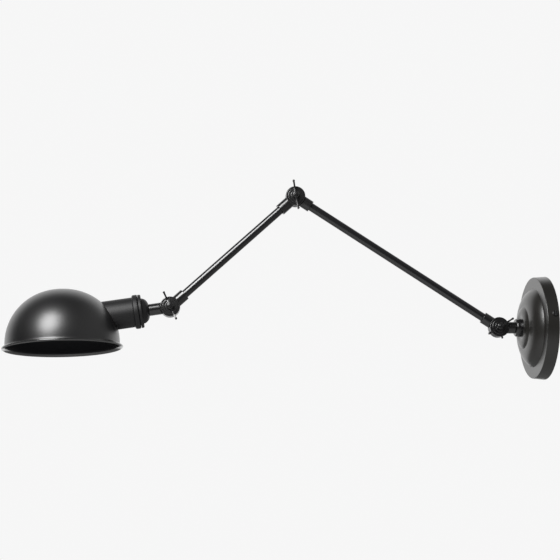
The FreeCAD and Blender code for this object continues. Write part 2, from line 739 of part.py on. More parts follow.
def make_holder():
    parts = {}
    parts["holder_knuckle"] = knuckle(REAR, holder_neck_length)
    nipple_start = holder_neck_length - thread_depth + mouth_gap
    bore = tube_radius - tube_wall
    parts["holder_nipple"] = pipe(tube_radius, bore, V(nipple_start, 0, 0),
                                  V(nipple_start + nipple_length, 0, 0))
    parts["holder_cap"] = make_holder_cap()
    parts["holder_lock_nut"] = hexagon_nut(tube_radius, lock_nut_thickness, cap_start + cap_floor)
    parts["locking_ring"] = turned([
        (sleeve_start, sleeve_radius + fixed_gap), (sleeve_start, bead_radius, bead_back_round),
        (bead_end, bead_radius, bead_front_round), (bead_end, sleeve_radius + fixed_gap)])

    sleeve = pipe(sleeve_radius, sleeve_radius - sleeve_wall, V(sleeve_start, 0, 0),
                  V(sleeve_start + sleeve_length, 0, 0))
    outside = in_shade_place(closed_dome(-weld_gap, 0))
    pieces["holder_sleeve"] = solid_of(placed(sleeve, shade_pivot, holder_angle).cut(outside))

    inner = body_radius - body_wall
    body = turned([(body_start, tube_radius + thread_gap), (body_start, body_radius, body_round),
                   (body_end, body_radius, body_round), (body_end, inner), (body_start + body_floor, inner),
                   (body_start + body_floor, tube_radius + thread_gap)])
    parts["lampholder_body"] = body
    core = rod(inner - fixed_gap, V(core_start, 0, 0), V(core_end, 0, 0))
    terminals = []
    for s in (-1, 1):
        middle = V(core_start, wire_offset, s * terminal_offset)
        half = terminal_width / 2
        pocket = block(middle + V(-1, -half - fixed_gap, -half - fixed_gap),
                       middle + V(terminal_width, half + fixed_gap, half + fixed_gap))
        core = core.cut(pocket)
        terminal = block(middle + V(fixed_gap, -half, -half),
                         middle + V(terminal_width - fixed_gap, half, half))
        terminals.append(terminal.cut(rod(terminal_bore, middle - X, middle + X * (terminal_width - 1))))
    parts["lampholder_core"] = solid_of(core)
    parts["lampholder_terminals"] = Part.makeCompound([t.Solids[0] for t in terminals])
    shell_outer = lamp_thread_radius + thread_shell_wall
    well = lamp_thread_radius - thread_well_step
    bottom = core_end + thread_shell_wall
    parts["lampholder_thread_shell"] = turned([
        (core_end, contact_hole_radius), (core_end, shell_outer), (lamp_thread_end, shell_outer),
        (lamp_thread_end, lamp_thread_radius), (lamp_thread_start, lamp_thread_radius),
        (lamp_thread_start, well), (bottom, well), (bottom, contact_hole_radius)])
    half = contact_width / 2
    contact_top = core_end + contact_height
    contact = [V(core_end, 0, -half), V(core_end + contact_thickness, 0, -half),
               V(contact_top, 0, half - 3 * contact_thickness), V(contact_top, 0, half),
               V(contact_top - contact_thickness, 0, half), V(core_end, 0, -half + 2 * contact_thickness)]
    strip = Part.Face(Part.makePolygon(contact + contact[:1])).extrude(Y * contact_width / 2)
    strip.translate(V(0, -contact_width / 4, 0))
    parts["centre_contact"] = solid_of(strip)
    parts["holder_wires"] = wires(wire_start, core_start - wire_gap, REAR)
    for name, shape in parts.items():
        pieces[name] = placed(shape, shade_pivot, holder_angle)


# ---------------------------------------------------------------- canopy wires
def make_canopy_wires(spigot_end):
    """Two insulated wires from the terminal block, up and round into the hollow spigot."""
    clamp_x = -plate_thickness - fixed_gap - block_thickness / 2
    end_x = spigot_end + bush_lip + wire_gap
    leads = []
    for s in (-1, 1):
        y = s * pole_spacing
        top = V(clamp_x, y, block_height + block_depth / 2 - wire_end_depth)
        height = s * wire_spread
        bend = V(clamp_x, -wire_offset, height)
        leads.append((top, bend, V(end_x, -wire_offset, height)))
    solids = []
    for start, corner, end in leads:
        rise = V(start.x, start.y, start.z + wire_rise_height)
        reach = min(wire_turn_reach, corner.distanceToPoint(end) * 0.9)
        turn = bend_radius(rise, corner, end, reach)
        first, middle, last = corner_arc(rise, corner, end, turn)
        bend = bend_radius(start, rise, corner, wire_bend_reach)
        second, knee, third = corner_arc(start, rise, corner, bend)
        path = Part.Wire([
            Part.makeLine(start, second), Part.Arc(second, knee, third).toShape(),
            Part.makeLine(third, first), Part.Arc(first, middle, last).toShape(),
            Part.makeLine(last, end)])
        profile = Part.Wire(Part.makeCircle(wire_radius, start, Z))
        solids.append(solid_of(path.makePipeShell([profile], True, True)))
    pieces["canopy_wires"] = Part.makeCompound(solids)


def bend_radius(before, corner, after, reach):
    """Arc radius whose tangent points lie a given reach from the corner."""
    half = (before - corner).getAngle(after - corner) / 2
    return reach * math.tan(half)


# ---------------------------------------------------------------- assembly
make_canopy()
make_backplate()
make_grommet()
make_terminal_block()
boss_front, spigot_end = make_swivel()
make_wall_knuckle(boss_front, spigot_end)
make_canopy_wires(spigot_end)
make_arm("lower_arm", REAR, wall_pivot, lower_arm_angle, lower_arm_length,
         lower_neck_length, lower_neck_length, ("wall", "elbow"))
make_arm("upper_arm", FRONT, elbow_pivot, upper_arm_angle, upper_arm_length,
         upper_neck_length_elbow, upper_neck_length_shade, ("elbow", "shade"))
joint_hardware("wall_joint", wall_pivot, wall_wing_angle)
joint_hardware("elbow_joint", elbow_pivot, elbow_wing_angle)
joint_hardware("shade_joint", shade_pivot, shade_wing_angle)
make_holder()
make_shade()

os.makedirs("parts", exist_ok=True)
for node, shape in pieces.items():
    shape.exportStep("parts/" + node + ".step")
    print(node, "solids", len(shape.Solids), "volume", round(shape.Volume, 2), "valid", shape.isValid())
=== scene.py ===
import json
import math

import bmesh
import bpy
from mathutils import Matrix, Vector

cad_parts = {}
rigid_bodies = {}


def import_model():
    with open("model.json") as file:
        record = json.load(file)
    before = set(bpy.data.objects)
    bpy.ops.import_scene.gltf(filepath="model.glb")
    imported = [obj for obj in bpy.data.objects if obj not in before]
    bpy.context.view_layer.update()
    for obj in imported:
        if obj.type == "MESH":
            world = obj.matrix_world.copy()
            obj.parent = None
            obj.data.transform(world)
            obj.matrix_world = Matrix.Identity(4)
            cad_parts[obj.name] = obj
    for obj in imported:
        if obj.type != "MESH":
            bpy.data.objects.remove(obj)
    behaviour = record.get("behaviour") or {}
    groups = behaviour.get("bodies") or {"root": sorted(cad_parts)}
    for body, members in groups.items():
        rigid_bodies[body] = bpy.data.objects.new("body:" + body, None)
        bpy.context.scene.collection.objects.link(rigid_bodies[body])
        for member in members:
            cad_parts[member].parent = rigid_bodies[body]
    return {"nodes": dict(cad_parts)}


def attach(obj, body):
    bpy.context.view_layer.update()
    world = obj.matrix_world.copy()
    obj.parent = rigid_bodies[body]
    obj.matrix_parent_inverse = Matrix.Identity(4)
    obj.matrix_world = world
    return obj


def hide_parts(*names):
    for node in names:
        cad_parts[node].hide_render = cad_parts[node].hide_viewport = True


for leftOver in list(bpy.data.objects):
    bpy.data.objects.remove(leftOver)
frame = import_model()
bpy.context.view_layer.update()
print("frame loaded:", len(frame["nodes"]), "nodes")

mm = 0.001
up, forward, sideways = Vector((0, 0, 1)), Vector((1, 0, 0)), Vector((0, 1, 0))

pose = {                                # how the lamp stands, in mm and degrees
    "wallReach": 60.4,                  # wall to the first pivot
    "lowerArm": (317.0, 147.4),         # length pivot to pivot, angle
    "upperArm": (220.7, 223.0),
    "holderAngle": 189.2,
    "rimAlong": 141.47,                 # rim centre from the shade pivot, along the holder
    "rimDrop": 33.71,                   # and square to it
    "shadeTilt": 2.7,
}


def polar(start, length, degrees):      # angle from +X towards +Z, in the arm's plane
    turn = math.radians(degrees)
    return start + Vector((math.cos(turn), 0, math.sin(turn))) * length * mm


def inPlane(degrees):                   # turns local X to an angle in the arm's plane
    return Matrix.Rotation(-math.radians(degrees), 3, "Y")


alongAxle = Matrix.Rotation(math.pi / 2, 3, "Z")        # turns local X to +Y
holderTurn = inPlane(pose["holderAngle"])
shadeTurn = inPlane(90 + pose["shadeTilt"])             # turns it to the dome's axis, rim to crown

wallPivot = Vector((-pose["wallReach"] * mm, 0, 0))
elbowPivot = polar(wallPivot, *pose["lowerArm"])
shadePivot = polar(elbowPivot, *pose["upperArm"])
rimCentre = polar(polar(shadePivot, pose["rimAlong"], pose["holderAngle"]),
                  pose["rimDrop"], pose["holderAngle"] + 90)


# working with the mesh
def pick(*pieces):
    if bpy.context.object and bpy.context.object.mode != "OBJECT":
        bpy.ops.object.mode_set(mode="OBJECT")
    bpy.ops.object.select_all(action="DESELECT")
    for piece in pieces:
        piece.select_set(True)
        bpy.context.view_layer.objects.active = piece


def selectWhere(piece, kind, wanted):   # kind is "edges" or "faces", in edit mode
    bpy.ops.mesh.select_mode(type=kind[:-1].upper())
    bpy.ops.mesh.select_all(action="DESELECT")
    mesh = bmesh.from_edit_mesh(piece.data)
    for part in getattr(mesh, kind):
        if wanted(part):
            part.select_set(True)
    bmesh.update_edit_mesh(piece.data)


turning = {                             # in mm
    "mergeWithin": 0.012, "ringAlong": 0.002, "ringRadius": 0.005,
    "broadRound": 0.7, "broadSegments": 5, "smallSegments": 3,
}
axisRadius = 0.02                       # where an outline closes on its axis


def onRing(along, radius):              # a test for the edges of one ring of a turned piece
    def wanted(edge):
        return all(abs(vertex.co.x - along * mm) < turning["ringAlong"] * mm
                   and abs(math.hypot(vertex.co.y, vertex.co.z) - radius * mm) < turning["ringRadius"] * mm
                   for vertex in edge.verts)
    return wanted


def turned(name, outline, rounds=(), steps=72, closed=True):
    # outline: (along, radius) in mm, turned about local X; rounds: (along, radius, width)
    pick()
    along, radius = outline[0]
    bpy.ops.mesh.primitive_circle_add(vertices=steps, radius=radius * mm, fill_type="NOTHING",
                                      location=(along * mm, 0, 0), rotation=(0, math.pi / 2, 0))
    piece = bpy.context.object
    piece.name = name
    bpy.ops.object.transform_apply(location=True, rotation=True, scale=True)
    bpy.ops.object.mode_set(mode="EDIT")
    bpy.ops.mesh.select_all(action="SELECT")
    for nextAlong, nextRadius in outline[1:] + (outline[:1] if closed else []):
        bpy.ops.mesh.extrude_edges_move(
            TRANSFORM_OT_translate={"value": ((nextAlong - along) * mm, 0, 0)})
        grow = nextRadius / radius
        bpy.ops.transform.resize(value=(1, grow, grow), center_override=(nextAlong * mm, 0, 0))
        along, radius = nextAlong, nextRadius
    bpy.ops.mesh.select_all(action="SELECT")
    bpy.ops.mesh.remove_doubles(threshold=turning["mergeWithin"] * mm)
    bpy.ops.mesh.normals_make_consistent(inside=False)
    for along, radius, width in rounds:
        selectWhere(piece, "edges", onRing(along, radius))
        broad = width > turning["broadRound"]
        bpy.ops.mesh.bevel(offset=width * mm, affect="EDGES",
                           segments=turning["broadSegments"] if broad else turning["smallSegments"])
    bpy.ops.object.mode_set(mode="OBJECT")
    return piece


def arcBetween(start, end, sagitta, count):     # (along, radius) points after start, bulging outwards
    (startAlong, startRadius), (endAlong, endRadius) = start, end
    chord = math.hypot(endAlong - startAlong, endRadius - startRadius)
    radius = (chord ** 2 / 4 + sagitta ** 2) / (2 * sagitta)
    half = math.asin(chord / 2 / radius)
    middle = Vector(((startAlong + endAlong) / 2, (startRadius + endRadius) / 2))
    tangent = Vector((endAlong - startAlong, endRadius - startRadius)) / chord
    outward = Vector((-tangent.y, tangent.x))
    if outward.y < 0:
        outward = -outward
    centre = middle - outward * (radius - sagitta)
    points = []
    for i in range(1, count + 1):
        turn = -half + 2 * half * i / count
        points.append(tuple(centre + tangent * radius * math.sin(turn)
                            + outward * radius * math.cos(turn)))
    return points


def rod(name, radius, start, end, axis, steps=72):
    pick()
    bpy.ops.mesh.primitive_cylinder_add(vertices=steps, radius=radius * mm, depth=(end - start).length,
                                        location=(start + end) / 2)
    piece = bpy.context.object
    piece.name = name
    piece.rotation_euler = axis.to_track_quat("Z", "Y").to_euler()
    bpy.ops.object.transform_apply(location=True, rotation=True, scale=True)
    return piece


def block(name, middle, size):          # both in mm
    pick()
    bpy.ops.mesh.primitive_cube_add(size=1, location=Vector(middle) * mm)
    piece = bpy.context.object
    piece.name = name
    piece.scale = Vector(size) * mm
    bpy.ops.object.transform_apply(location=True, rotation=True, scale=True)
    return piece


def copied(piece, name):
    twin = piece.copy()
    twin.data = piece.data.copy()
    twin.name = name
    bpy.context.collection.objects.link(twin)
    return twin


def setDown(piece, origin, turn):       # turn: a rotation matrix that takes local X where it belongs
    pick(piece)
    piece.matrix_world = Matrix.Translation(origin) @ turn.to_4x4()
    bpy.ops.object.transform_apply(location=True, rotation=True, scale=True)
    return piece


def combine(piece, other, how):
    pick(piece)
    change = piece.modifiers.new(how.lower(), "BOOLEAN")
    change.object, change.operation, change.solver = other, how, "EXACT"
    bpy.ops.object.modifier_apply(modifier=change.name)
    bpy.data.objects.remove(other)
    return piece


def smoothed(piece, under=38):          # shades smooth where faces meet at less than so many degrees
    pick(piece)
    bpy.ops.object.shade_smooth_by_angle(angle=math.radians(under))
    even = piece.modifiers.new("even", "WEIGHTED_NORMAL")
    even.keep_sharp = True
    bpy.ops.object.modifier_apply(modifier="even")
    return piece


def fitted(piece, body, node, *coats):  # gives a finished piece its body, slot, CAD node and paints
    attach(piece, body)
    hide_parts(node)
    piece.data.materials.clear()
    for coat in coats:
        piece.data.materials.append(coat)


# finishes
class Pin:                              # one value in a node tree, so node maths reads as sums
    def __init__(self, wiring, socket):
        self.wiring, self.socket = wiring, socket

    def maths(self, kind, first, second):
        return self.wiring.node("Math", {"operation": kind}, [first, second])

    def __add__(self, other):
        return self.maths("ADD", self, other)

    def __radd__(self, other):
        return self.maths("ADD", other, self)

    def __sub__(self, other):
        return self.maths("SUBTRACT", self, other)

    def __rsub__(self, other):
        return self.maths("SUBTRACT", other, self)

    def __mul__(self, other):
        return self.maths("MULTIPLY", self, other)

    def __rmul__(self, other):
        return self.maths("MULTIPLY", other, self)


class Wiring:                           # adds nodes to one node tree and joins them
    def __init__(self, tree):
        self.tree = tree

    def feed(self, socket, value):
        if isinstance(value, Pin):
            self.tree.links.new(value.socket, socket)
        else:
            socket.default_value = value

    def node(self, kind, settings=None, inputs=(), output=0):
        made = self.tree.nodes.new("ShaderNode" + kind)
        for key, value in (settings or {}).items():
            setattr(made, key, value)
        for key, value in (inputs.items() if isinstance(inputs, dict) else enumerate(inputs)):
            self.feed(made.inputs[key], value)
        return Pin(self, made.outputs[output])

    def eased(self, value, low, high):  # 0 at low, 1 at high
        return self.node("MapRange", {"interpolation_type": "SMOOTHSTEP"},
                         {"Value": value, "From Min": low, "From Max": high})


class Paint(Wiring):
    def __init__(self, name, fixed):
        self.material = bpy.data.materials.new(name)
        self.material.use_nodes = True
        super().__init__(self.material.node_tree)
        self.shader = self.tree.nodes["Principled BSDF"]
        for key, value in fixed.items():
            self.shader.inputs[key].default_value = value
        self.place = self.node("TexCoord", output="Object")

    def noise(self, scale, detail=2.0, rough=0.5, place=None):
        return self.node("TexNoise", {}, {"Vector": place or self.place, "Scale": scale,
                                          "Detail": detail, "Roughness": rough})

    def stretched(self, x, y, z):
        return self.node("Mapping", {}, {"Vector": self.place, "Scale": (x, y, z)})

    def between(self, mask, first, second):
        return self.node("Mix", {"data_type": "RGBA"}, {0: mask, 6: (*first, 1), 7: (*second, 1)}, output=2)

    def surface(self, colour, rough, height, depth):    # depth of the bumps in mm
        self.feed(self.shader.inputs["Base Color"], colour)
        self.feed(self.shader.inputs["Roughness"], rough)
        bump = self.node("Bump", {}, {"Strength": 1.0, "Distance": depth * mm, "Height": height})
        self.feed(self.shader.inputs["Normal"], bump)
        return self.material


enamels = {                             # one stove enamel with its tone, roughness and coat set for each piece; the faint blue in the darker tones is painted bluish shade
    "shade": {"tone": (0.0050, 0.0049, 0.0052), "rough": 0.36},
    # the canopy's lighter, warmer tone is painted warm light, standing in for the warm light on its lit
    # side
    "canopy": {"tone": (0.0118, 0.0110, 0.0097), "rough": 0.30, "peel": 0.6, "coat": 0.34},
    "arm": {"tone": (0.0048, 0.0048, 0.0056), "rough": 0.24, "peel": 0.03},
    "joint": {"tone": (0.0056, 0.0055, 0.0058), "rough": 0.24, "peel": 0.04},
    "holder": {"tone": (0.0058, 0.0057, 0.0063), "rough": 0.50, "peel": 0.2, "coat": 0.0, "gloss": 0.46},
    # the rim's lighter tone is a painted highlight along the rolled edge; its lower roughness and stronger
    # coat are a real glossier finish
    "rim": {"tone": (0.0120, 0.0118, 0.0122), "rough": 0.19, "peel": 0.15, "coat": 0.8, "gloss": 0.8},
}
enamelGrain = {
    "dark": 0.86, "light": 1.22,        # shares of the tone that the soft patches reach
    "nibs": (0.72, 0.77),               # the noise above which a dust nib shows
    "nibHeight": 0.5, "fineHeight": 0.06, "patchRough": 0.06, "fineRough": 0.04, "depth": 0.004,
}


def enamel(name, tone, rough, peel=1.0, coat=0.55, gloss=0.62):
    # satin black: faint orange peel, soft patches of gloss, a few dust nibs
    grain = enamelGrain
    paint = Paint("satin_black_" + name, {"Specular IOR Level": gloss, "Coat Weight": coat,
                                          "Coat Roughness": rough, "Coat IOR": 1.5})
    patches = paint.noise(scale=16, detail=3)
    fine = paint.noise(scale=1400, detail=1)
    nibs = paint.eased(paint.noise(scale=520, detail=1), *grain["nibs"])
    orangePeel = paint.noise(scale=330, detail=2, rough=0.45)
    colour = paint.between(patches, [t * grain["dark"] for t in tone], [t * grain["light"] for t in tone])
    roughness = rough + (patches - 0.5) * grain["patchRough"] + (fine - 0.5) * grain["fineRough"]
    height = (orangePeel + nibs * grain["nibHeight"] + fine * grain["fineHeight"]) * peel
    return paint.surface(colour, roughness, height, grain["depth"])


def sprayedInside():                    # thinner and flatter, with the drag of the spray round the shade
    paint = Paint("flat_black_inside", {"Specular IOR Level": 0.28})
    drag = paint.noise(scale=60, detail=3, place=paint.stretched(1, 1, 7))
    grit = paint.noise(scale=900, detail=2)
    # a real flat black, with its tone raised and tinted blue as painted bluish light in the shade's hollow
    colour = paint.between(drag, (0.0082, 0.0082, 0.0100), (0.0130, 0.0128, 0.0152))
    return paint.surface(colour, rough=0.62 + (grit - 0.5) * 0.2, height=grit, depth=0.03)


def zincPlate():
    paint = Paint("zinc_plated_steel", {"Metallic": 1.0})
    clouds = paint.noise(scale=40, detail=4)
    spangle = paint.noise(scale=700, detail=1)
    colour = paint.between(clouds, (0.50, 0.52, 0.55), (0.66, 0.65, 0.61))
    return paint.surface(colour, rough=0.34 + clouds * 0.12 + spangle * 0.05, height=spangle, depth=0.01)


def dullBrass():
    paint = Paint("dull_brass", {"Metallic": 1.0})
    tarnish = paint.eased(paint.noise(scale=220, detail=5), 0.42, 0.68)
    colour = paint.between(tarnish, (0.74, 0.54, 0.25), (0.44, 0.29, 0.13))
    return paint.surface(colour, rough=0.28 + tarnish * 0.2, height=paint.noise(scale=1200), depth=0.008)


def blackPhenolic():
    paint = Paint("black_phenolic_moulding", {"Specular IOR Level": 0.5})
    swirl = paint.noise(scale=110, detail=5, rough=0.6)
    colour = paint.between(swirl, (0.010, 0.008, 0.007), (0.026, 0.019, 0.016))
    return paint.surface(colour, rough=0.34 + swirl * 0.12, height=swirl, depth=0.01)


def paleNylon():
    paint = Paint("pale_nylon_moulding", {"Subsurface Weight": 0.1})
    cloudy = paint.noise(scale=90, detail=3)
    grain = paint.noise(scale=1600, detail=1)
    colour = paint.between(cloudy, (0.66, 0.65, 0.60), (0.76, 0.75, 0.70))
    return paint.surface(colour, rough=0.46 + grain * 0.1, height=grain, depth=0.01)


def glazedCeramic():
    paint = Paint("glazed_ceramic", {"Coat Weight": 0.6, "Coat Roughness": 0.08})
    specks = paint.eased(paint.noise(scale=900, detail=1), 0.68, 0.74)
    colour = paint.between(specks, (0.80, 0.79, 0.75), (0.42, 0.37, 0.31))
    return paint.surface(colour, rough=0.3 + specks * 0.2, height=paint.noise(scale=150), depth=0.03)


def blackRubber():
    paint = Paint("black_rubber", {"Specular IOR Level": 0.35})
    bloom = paint.noise(scale=130, detail=4)
    pores = paint.noise(scale=1500, detail=2)
    colour = paint.between(bloom, (0.016, 0.016, 0.017), (0.036, 0.036, 0.037))
    return paint.surface(colour, rough=0.66 + bloom * 0.2, height=pores, depth=0.02)


def frictionFibre():
    paint = Paint("pressed_friction_fibre", {"Specular IOR Level": 0.3})
    strands = paint.noise(scale=700, detail=3, place=paint.stretched(1, 3, 1))
    spots = paint.noise(scale=1500, detail=1)
    colour = paint.between(strands, (0.060, 0.045, 0.035), (0.17, 0.13, 0.10))
    return paint.surface(colour, rough=0.78 + spots * 0.15, height=strands, depth=0.04)


def wireSheath():
    paint = Paint("wire_sheath", {"Specular IOR Level": 0.45})
    streak = paint.noise(scale=260, detail=2)
    pits = paint.noise(scale=2200, detail=1)
    colour = paint.between(streak, (0.46, 0.45, 0.43), (0.58, 0.57, 0.55))
    return paint.surface(colour, rough=0.38 + pits * 0.1, height=pits, depth=0.01)


paints = {name: enamel(name, **finish) for name, finish in enamels.items()}
paints["inside"] = sprayedInside()
slotPaints = {
    "black_enamel": paints["joint"], "zinc_steel": zincPlate(), "brass": dullBrass(),
    "black_phenolic": blackPhenolic(), "pale_nylon": paleNylon(), "glazed_ceramic": glazedCeramic(),
    "black_rubber": blackRubber(), "friction_fibre": frictionFibre(), "wire_sheath": wireSheath(),
}
for node in frame["nodes"].values():    # every carried-over node gets its finish by slot
    slotName = node.data.materials[0].name.split(".")[0]
    for holder in node.material_slots:
        holder.material = slotPaints[slotName]
print("finishes made for", len(slotPaints), "slots")


# wall canopy, its boss and its side screws; along is negative, away from the wall
canopy = {
    "rimRadius": 67.5, "rimDepth": 15.1, "rimTaper": 1.3, "rimRound": 0.9, "wall": 1.2,
    "bulgeFoot": 51.4, "bulgeHeight": 12.9, "bulgeSagitta": 3.6, "bulgeSteps": 14,
    "crestRadius": 27.6, "crestHeight": 3.2, "crestSagitta": 2.0, "crestSteps": 8,
    "seatRadius": 12.4, "shankHole": 8.05, "steps": 144,
}
boss = {
    "front": -39.0, "shoulder": -31.2, "back": -23.2, "radius": 11.7, "shank": 8.0, "bore": 5.06,
    "frontRound": 2.4, "boreRound": 0.3,
}
sideScrew = {
    "depth": 5.5, "tilt": 7.0, "seat": 67.37,           # its place on the rim
    "point": -6.5, "shank": 2.0, "pointRound": 0.5, "headRadius": 3.4, "headHeight": 1.8, "headRound": 0.6,
    "slotAt": 1.4, "slotSize": (1.0, 1.0, 9.0),
    "hole": 2.05, "holeFrom": 62.0, "holeTo": 70.0, "holeSteps": 32,
}


def inset(points, distance):            # the same outline, moved inwards by a wall's thickness
    moved = []
    for i, point in enumerate(points):
        normals = []
        for a, b in ((i - 1, i), (i, i + 1)):
            if a >= 0 and b < len(points):
                run = Vector(points[b]) - Vector(points[a])
                normals.append(Vector((-run.y, run.x)).normalized())
        middle = sum(normals, Vector((0, 0))) / len(normals)
        moved.append(tuple(Vector(point) + middle * distance / middle.length_squared))
    return moved


def screwLine(side):                    # where the line of side screw 0 or 1 starts, and its way out
    tilt = math.radians(sideScrew["tilt"] + 180 * side)
    return Vector((-sideScrew["depth"] * mm, 0, 0)), Vector((0, -math.cos(tilt), math.sin(tilt)))


def makeCanopyShell():
    c, s = canopy, sideScrew
    rimTop = (-c["rimDepth"], c["rimRadius"] - c["rimTaper"])
    foot = (-c["rimDepth"], c["bulgeFoot"])
    crease = (-c["rimDepth"] - c["bulgeHeight"], c["crestRadius"])
    seatEdge = (crease[0] - c["crestHeight"], c["seatRadius"])
    outer = [(0.0, c["rimRadius"]), rimTop, foot]
    outer += arcBetween(foot, crease, c["bulgeSagitta"], c["bulgeSteps"])
    outer += arcBetween(crease, seatEdge, c["crestSagitta"], c["crestSteps"])
    outer += [(seatEdge[0], c["shankHole"])]
    inner = inset(outer, c["wall"])
    inner[0] = (0.0, inner[0][1])       # the rim ends flat on the wall
    shell = turned("canopyShell", outer + inner[::-1], [(*rimTop, c["rimRound"])], steps=c["steps"])
    for side in (0, 1):
        centre, out = screwLine(side)
        hole = rod("hole", s["hole"], centre + out * s["holeFrom"] * mm, centre + out * s["holeTo"] * mm,
                   out, s["holeSteps"])
        combine(shell, hole, "DIFFERENCE")
    fitted(smoothed(shell, under=28), "canopy", "canopy_shell", paints["canopy"])


def makeBoss():
    b = boss
    base = turned("swivelBase", [(b["front"], b["bore"]), (b["front"], b["radius"]),
                                 (b["shoulder"], b["radius"]), (b["shoulder"], b["shank"]),
                                 (b["back"], b["shank"]), (b["back"], b["bore"])],
                  [(b["front"], b["radius"], b["frontRound"]), (b["front"], b["bore"], b["boreRound"])])
    fitted(smoothed(base), "canopy", "swivel_base", paints["joint"])


def makeSideScrews():
    s = sideScrew
    screw = turned("sideScrew", [(s["point"], axisRadius), (s["point"], s["shank"]), (0, s["shank"]),
                                 (0, s["headRadius"]), (s["headHeight"], s["headRadius"]),
                                 (s["headHeight"], axisRadius)],
                   [(s["headHeight"], s["headRadius"], s["headRound"]),
                    (s["point"], s["shank"], s["pointRound"])], steps=48)
    combine(screw, block("slot", (s["slotAt"], 0, 0), s["slotSize"]), "DIFFERENCE")
    screws = [screw, copied(screw, "sideScrewBehind")]
    for side in (0, 1):
        centre, out = screwLine(side)
        setDown(screws[side], centre + out * s["seat"] * mm, out.to_track_quat("X", "Z").to_matrix())
    pick(*screws)
    bpy.ops.object.join()
    both = bpy.context.object
    both.name = "canopySideScrews"
    fitted(smoothed(both, under=30), "canopy", "canopy_side_screws", paints["joint"])


makeCanopyShell()
makeBoss()
makeSideScrews()
print("canopy made")


# friction joints: two half-discs, each with a neck, on a bolt with a wing nut
joint = {
    "discRadius": 12.9, "discThickness": 6.0, "discRound": 0.9, "faceRound": 0.25, "gap": 1.0,
    "cavityRadius": 9.3, "cavityDepth": 4.0, "hubRadius": 4.1, "boltHole": 2.56, "groove": 0.6,
    "neckRadius": 7.65, "neckFrom": 2.0, "neckRound": 0.45,
    "neckSink": 0.35,                   # how far the neck reaches into its own disc
    "tubeHole": 5.05, "wireHole": 4.0, "threadDepth": 11.0, "spigotRadius": 5.0, "spigotTo": 44.0,
    "channel": (8.0, 16.0),             # the wires' way from the neck into the disc
    "cutFrom": 1.0, "cutTo": 30.0, "cutSteps": 120,
}
necks = {                               # lengths, from the pivot
    "wall": 21.1, "lowerArm": 24.3, "upperArmElbow": 27.4, "upperArmShade": 25.0, "holder": 27.2,
}
rear, front = 1, -1                     # the side of the arm's middle plane that a half lies on


def makeDisc(name, side):
    j = joint
    near = j["gap"] / 2
    floor, back = near + j["cavityDepth"], near + j["discThickness"]
    disc = turned(name, [(near, j["boltHole"]), (near, j["hubRadius"]), (floor, j["hubRadius"]),
                         (floor, j["cavityRadius"]), (near, j["cavityRadius"]), (near, j["discRadius"]),
                         (back, j["discRadius"]), (back, j["boltHole"])],
                  [(back, j["discRadius"], j["discRound"]), (near, j["discRadius"], j["faceRound"])],
                  steps=96)
    return setDown(disc, Vector(), alongAxle if side == rear else alongAxle.inverted())


def makeNeck(side, length, spigot):     # cut to clear the other half's disc and to meet its own
    j = joint
    if spigot:
        stepRadius, stepAlong = j["spigotRadius"], j["spigotTo"]
    else:
        stepRadius, stepAlong = j["tubeHole"], length - j["threadDepth"]
    neck = turned("neck", [(j["neckFrom"], j["wireHole"]), (j["neckFrom"], j["neckRadius"]),
                           (length, j["neckRadius"]), (length, stepRadius), (stepAlong, stepRadius),
                           (stepAlong, j["wireHole"])], [(length, j["neckRadius"], j["neckRound"])])
    towards = sideways * side
    far = rod("cut", j["discRadius"] + j["groove"], towards * -j["cutTo"] * mm, towards * j["gap"] / 2 * mm,
              sideways, j["cutSteps"])
    combine(neck, far, "DIFFERENCE")
    own = rod("cut", j["discRadius"] - j["neckSink"], towards * -j["cutFrom"] * mm,
              towards * j["cutTo"] * mm, sideways, j["cutSteps"])
    return combine(neck, own, "DIFFERENCE")


def makeKnuckle(name, side, neckLength, origin, degrees, spigot):
    knuckle = combine(makeDisc(name, side), makeNeck(side, neckLength, spigot), "UNION")
    channelFrom, channelTo = joint["channel"]
    channel = rod("cut", joint["wireHole"], forward * channelFrom * mm, forward * channelTo * mm, forward)
    combine(knuckle, channel, "DIFFERENCE")
    return smoothed(setDown(knuckle, origin, inPlane(degrees)), under=32)


def makeKnuckles():
    lower, upper, holder = pose["lowerArm"][1], pose["upperArm"][1], pose["holderAngle"]
    knuckles = (
        ("wall_knuckle", "wallKnuckle", front, "wall", wallPivot, 0, "wall_neck"),
        ("lower_arm_wall_knuckle", "lowerArmWallKnuckle", rear, "lowerArm", wallPivot, lower, "lower_arm"),
        ("lower_arm_elbow_knuckle", "lowerArmElbowKnuckle", rear, "lowerArm", elbowPivot, lower + 180,
         "lower_arm"),
        ("upper_arm_elbow_knuckle", "upperArmElbowKnuckle", front, "upperArmElbow", elbowPivot, upper,
         "upper_arm"),
        ("upper_arm_shade_knuckle", "upperArmShadeKnuckle", front, "upperArmShade", shadePivot, upper - 180,
         "upper_arm"),
        ("holder_knuckle", "holderKnuckle", rear, "holder", shadePivot, holder, "shade_holder"),
    )
    for node, name, side, neck, origin, degrees, body in knuckles:
        knuckle = makeKnuckle(name, side, necks[neck], origin, degrees, spigot=(neck == "wall"))
        fitted(knuckle, body, node, paints["joint"])


